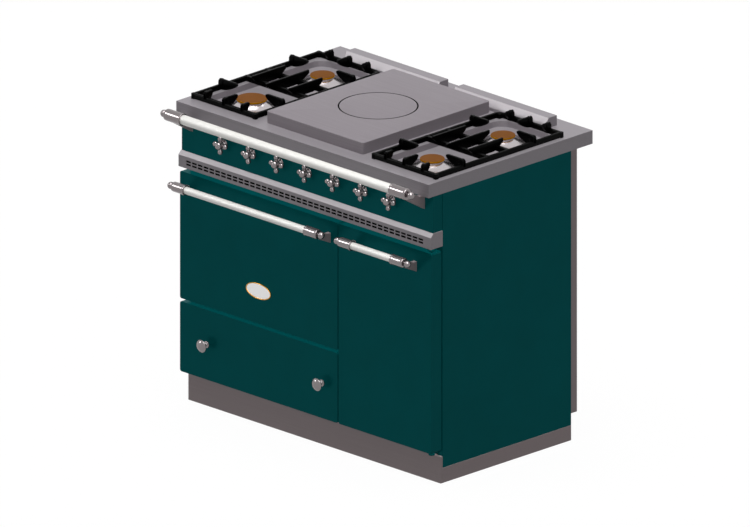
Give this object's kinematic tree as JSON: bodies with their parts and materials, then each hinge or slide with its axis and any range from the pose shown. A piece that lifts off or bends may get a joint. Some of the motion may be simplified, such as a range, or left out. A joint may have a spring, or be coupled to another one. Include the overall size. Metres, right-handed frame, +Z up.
{
  "type": "gas cooker",
  "caption": "Free-standing range cooker with gas burners, a solid simmer plate, an oven door, a cupboard door, a drawer and a porcelain handrail.",
  "frame": {"origin": "on the floor, at the centre of the bounding box seen from above", "axes": "+Z up, +X to the right as seen from the front, -Y out of the front"},
  "size_m": [1, 0.7269, 0.935],
  "materials": {
    "stainless_sheet": "satin brushed",
    "teal_enamel": "glossy vitreous enamel",
    "grey_steel": "satin",
    "zinc_steel": "galvanised",
    "oven_enamel": "speckled enamel",
    "mineral_wool": "fibrous",
    "seal_rope": "braided",
    "burner_steel": "bright",
    "brass_parts": "turned",
    "spindle_steel": "turned",
    "chrome": "polished",
    "porcelain": "glazed white",
    "badge_enamel": "glossy, bare",
    "polished_aluminium": "polished",
    "bronze_cap": "satin bronze",
    "cast_plate": "ground",
    "cast_iron": "black enamel"
  },
  "bodies": {
    "cabinet": {"worktop": "stainless_sheet", "flue_hoods": "stainless_sheet", "side_panel_left": "teal_enamel", "side_panel_right": "teal_enamel", "rear_panel": "grey_steel", "base_rails": "grey_steel", "front_plinth": "grey_steel", "chassis_frame": "zinc_steel", "oven_liner": "oven_enamel", "oven_insulation": "mineral_wool", "oven_burner": "burner_steel", "oven_furniture": "burner_steel", "door_hinge_brackets": "zinc_steel", "cupboard_liner": "oven_enamel", "drawer_rails": "zinc_steel", "control_panel": "teal_enamel", "vent_strip": "stainless_sheet", "gas_manifold": "brass_parts", "gas_taps": "brass_parts", "burner_heads": "polished_aluminium", "burner_skirts": "polished_aluminium", "simmer_burner": "cast_iron", "handrail_tube": "porcelain", "handrail_fittings": "chrome"},
    "oven_door": {"oven_door_panel": "teal_enamel", "oven_door_inner": "oven_enamel", "oven_door_gasket": "seal_rope", "oven_hinge_arms": "zinc_steel", "badge_plate": "badge_enamel", "oven_handle_tube": "porcelain", "oven_handle_fittings": "chrome"},
    "cupboard_door": {"cupboard_door_panel": "teal_enamel", "cupboard_door_inner": "zinc_steel", "cupboard_handle_tube": "porcelain", "cupboard_handle_fittings": "chrome"},
    "drawer": {"drawer_front": "teal_enamel", "drawer_box": "zinc_steel", "drawer_knobs": "chrome"},
    "left_grate": {"grate_left": "cast_iron"},
    "right_grate": {"grate_right": "cast_iron"},
    "plate": {"simmer_plate": "cast_plate"},
    "disc": {"simmer_disc": "cast_plate"},
    "cap_front_left": {"burner_cap_front_left": "bronze_cap"},
    "cap_rear_left": {"burner_cap_rear_left": "bronze_cap"},
    "cap_front_right": {"burner_cap_front_right": "bronze_cap"},
    "cap_rear_right": {"burner_cap_rear_right": "bronze_cap"},
    "spindle_1": {"tap_spindle_1": "spindle_steel"},
    "knob_1": {"control_knob_1": "chrome"},
    "spindle_2": {"tap_spindle_2": "spindle_steel"},
    "knob_2": {"control_knob_2": "chrome"},
    "spindle_3": {"tap_spindle_3": "spindle_steel"},
    "knob_3": {"control_knob_3": "chrome"},
    "spindle_4": {"tap_spindle_4": "spindle_steel"},
    "knob_4": {"control_knob_4": "chrome"},
    "spindle_5": {"tap_spindle_5": "spindle_steel"},
    "knob_5": {"control_knob_5": "chrome"},
    "spindle_6": {"tap_spindle_6": "spindle_steel"},
    "knob_6": {"control_knob_6": "chrome"},
    "spindle_7": {"tap_spindle_7": "spindle_steel"},
    "knob_7": {"control_knob_7": "chrome"}
  },
  "joints": [
    {"name": "oven_door_hinge", "type": "hinge", "parent": "cabinet", "child": "oven_door", "pos_m": [-0.186, -0.2605, 0.323], "axis": [1, 0, 0], "range_deg": [0, 90]},
    {"name": "cupboard_door_hinge", "type": "hinge", "parent": "cabinet", "child": "cupboard_door", "pos_m": [0.486, -0.2605, 0.3925], "axis": [0, 0, 1], "range_deg": [0, 105]},
    {"name": "drawer_slide", "type": "slide", "parent": "cabinet", "child": "drawer", "axis": [0, -1, 0], "range_m": [0, 0.28]},
    {"name": "left_grate_lift", "type": "slide", "parent": "cabinet", "child": "left_grate", "axis": [0, 0, 1], "range_m": [0, 0.12]},
    {"name": "right_grate_lift", "type": "slide", "parent": "cabinet", "child": "right_grate", "axis": [0, 0, 1], "range_m": [0, 0.12]},
    {"name": "plate_lift", "type": "slide", "parent": "cabinet", "child": "plate", "axis": [0, 0, 1], "range_m": [0, 0.08]},
    {"name": "disc_lift", "type": "slide", "parent": "plate", "child": "disc", "axis": [0, 0, 1], "range_m": [0, 0.06]},
    {"name": "cap_lift_front_left", "type": "slide", "parent": "cabinet", "child": "cap_front_left", "axis": [0, 0, 1], "range_m": [0, 0.05]},
    {"name": "cap_lift_rear_left", "type": "slide", "parent": "cabinet", "child": "cap_rear_left", "axis": [0, 0, 1], "range_m": [0, 0.05]},
    {"name": "cap_lift_front_right", "type": "slide", "parent": "cabinet", "child": "cap_front_right", "axis": [0, 0, 1], "range_m": [0, 0.05]},
    {"name": "cap_lift_rear_right", "type": "slide", "parent": "cabinet", "child": "cap_rear_right", "axis": [0, 0, 1], "range_m": [0, 0.05]},
    {"name": "knob_push_1", "type": "slide", "parent": "cabinet", "child": "spindle_1", "axis": [0, 1, 0], "range_m": [0, 0.0035], "stiffness_N_per_m": 1500},
    {"name": "knob_turn_1", "type": "hinge", "parent": "spindle_1", "child": "knob_1", "pos_m": [-0.327, -0.2845, 0.81], "axis": [0, -1, 0], "range_deg": [0, 270]},
    {"name": "knob_push_2", "type": "slide", "parent": "cabinet", "child": "spindle_2", "axis": [0, 1, 0], "range_m": [0, 0.0035], "stiffness_N_per_m": 1500},
    {"name": "knob_turn_2", "type": "hinge", "parent": "spindle_2", "child": "knob_2", "pos_m": [-0.216, -0.2845, 0.81], "axis": [0, -1, 0], "range_deg": [0, 270]},
    {"name": "knob_push_3", "type": "slide", "parent": "cabinet", "child": "spindle_3", "axis": [0, 1, 0], "range_m": [0, 0.0035], "stiffness_N_per_m": 1500},
    {"name": "knob_turn_3", "type": "hinge", "parent": "spindle_3", "child": "knob_3", "pos_m": [-0.105, -0.2845, 0.81], "axis": [0, -1, 0], "range_deg": [0, 270]},
    {"name": "knob_push_4", "type": "slide", "parent": "cabinet", "child": "spindle_4", "axis": [0, 1, 0], "range_m": [0, 0.0035], "stiffness_N_per_m": 1500},
    {"name": "knob_turn_4", "type": "hinge", "parent": "spindle_4", "child": "knob_4", "pos_m": [0.006, -0.2845, 0.81], "axis": [0, -1, 0], "range_deg": [0, 270]},
    {"name": "knob_push_5", "type": "slide", "parent": "cabinet", "child": "spindle_5", "axis": [0, 1, 0], "range_m": [0, 0.0035], "stiffness_N_per_m": 1500},
    {"name": "knob_turn_5", "type": "hinge", "parent": "spindle_5", "child": "knob_5", "pos_m": [0.117, -0.2845, 0.81], "axis": [0, -1, 0], "range_deg": [0, 270]},
    {"name": "knob_push_6", "type": "slide", "parent": "cabinet", "child": "spindle_6", "axis": [0, 1, 0], "range_m": [0, 0.0035], "stiffness_N_per_m": 1500},
    {"name": "knob_turn_6", "type": "hinge", "parent": "spindle_6", "child": "knob_6", "pos_m": [0.228, -0.2845, 0.81], "axis": [0, -1, 0], "range_deg": [0, 270]},
    {"name": "knob_push_7", "type": "slide", "parent": "cabinet", "child": "spindle_7", "axis": [0, 1, 0], "range_m": [0, 0.0035], "stiffness_N_per_m": 1500},
    {"name": "knob_turn_7", "type": "hinge", "parent": "spindle_7", "child": "knob_7", "pos_m": [0.339, -0.2845, 0.81], "axis": [0, -1, 0], "range_deg": [0, 270]}
  ]
}
